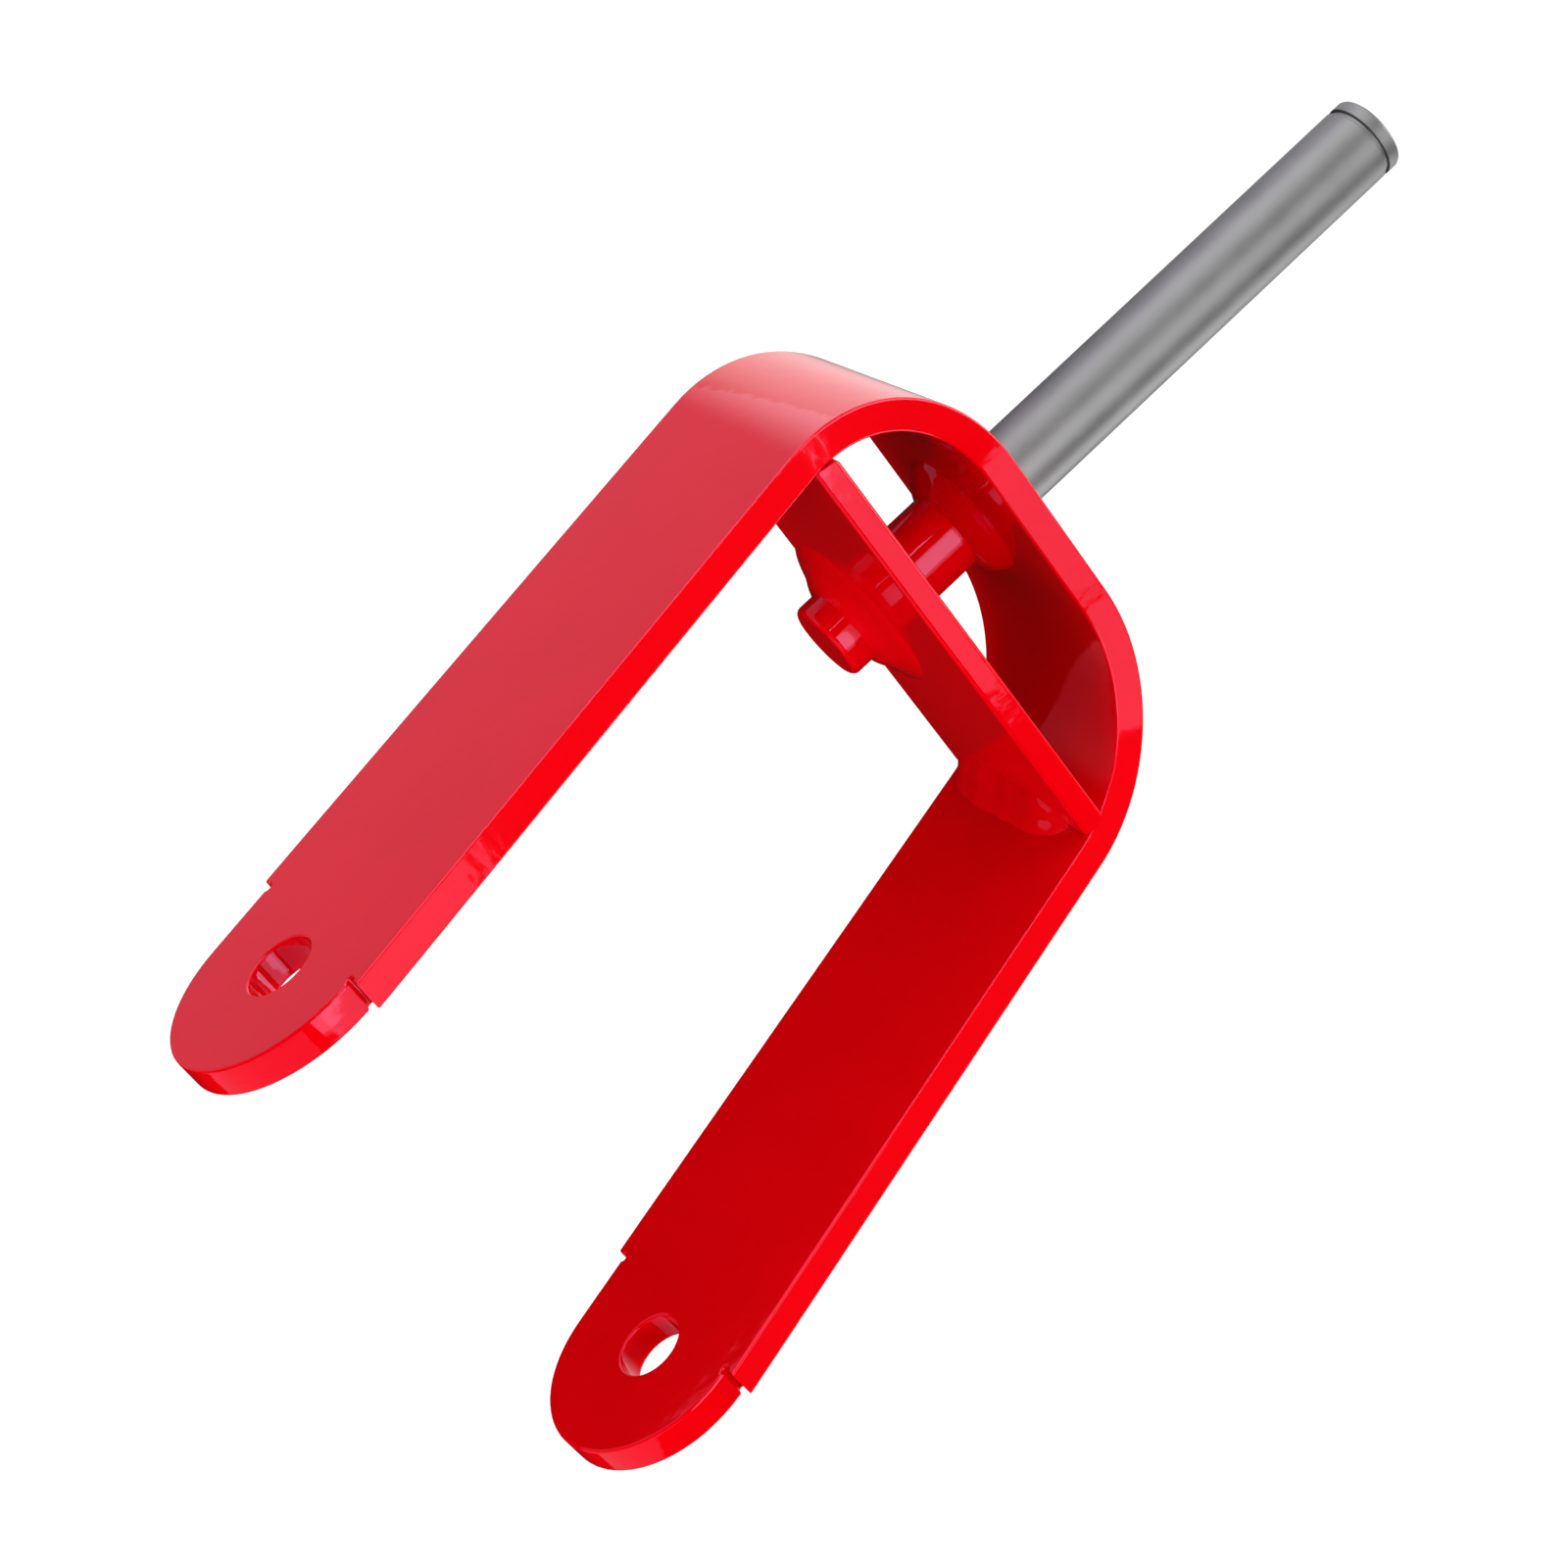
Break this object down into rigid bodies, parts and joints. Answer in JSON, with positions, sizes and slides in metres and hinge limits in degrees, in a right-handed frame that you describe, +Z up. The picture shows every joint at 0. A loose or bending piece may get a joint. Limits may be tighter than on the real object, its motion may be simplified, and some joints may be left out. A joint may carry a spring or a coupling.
{
  "type": "trailing caster fork",
  "caption": "Raked caster fork: a bent flat-bar fork with axle holes, braced by a cross plate, on a turned swivel stem.",
  "frame": {"origin": "on the stem's axis at the crown's top face", "axes": "+Z up the stem, +X across to the right leg, +Y forward; the legs rake back towards -Y as they go down"},
  "size_m": [0.1726, 0.1569, 0.4425],
  "materials": {
    "bar_paint": "gloss",
    "stem_steel": "satin"
  },
  "bodies": {
    "root": {"fork_bar": "bar_paint", "cross_plate": "bar_paint", "stem": "stem_steel", "crown_weld": "bar_paint", "stem_end_weld": "bar_paint", "right_plate_weld": "bar_paint", "left_plate_weld": "bar_paint"}
  },
  "joints": []
}
